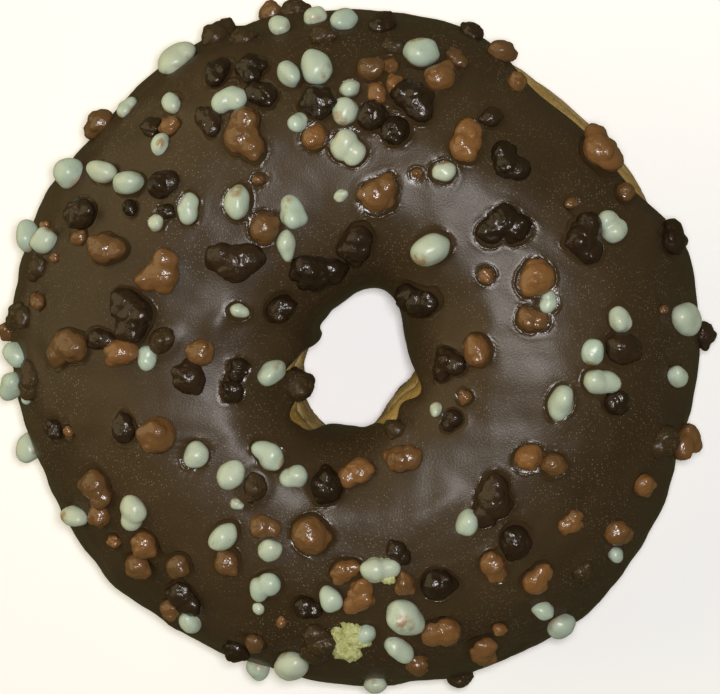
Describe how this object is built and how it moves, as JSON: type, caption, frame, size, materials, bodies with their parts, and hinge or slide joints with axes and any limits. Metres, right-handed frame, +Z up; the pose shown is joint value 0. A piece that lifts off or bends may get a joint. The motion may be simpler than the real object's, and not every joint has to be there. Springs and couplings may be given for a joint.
{
  "type": "croissant doughnut",
  "caption": "Ring doughnut of layered croissant dough, its top iced with dark chocolate and strewn with white, milk and dark chocolate crisp pearls.",
  "frame": {"origin": "middle of the doughnut's box, on the plane of the flat underside that it rests on", "axes": "+Z up along the axis of the hole; +X and +Y lie in the plane of the ring"},
  "size_m": [0.0987, 0.0946, 0.04],
  "materials": {
    "baked_pastry": "golden fried dough with layered, slightly oily flanks",
    "dark_chocolate": "set dark chocolate icing with a soft gloss",
    "white_pearls": "polished white chocolate coating, pale and slightly see-through",
    "milk_pearls": "polished milk chocolate coating",
    "dark_pearls": "polished dark chocolate coating"
  },
  "bodies": {
    "root": {"pastry_ring": "baked_pastry", "icing": "dark_chocolate"}
  },
  "joints": []
}
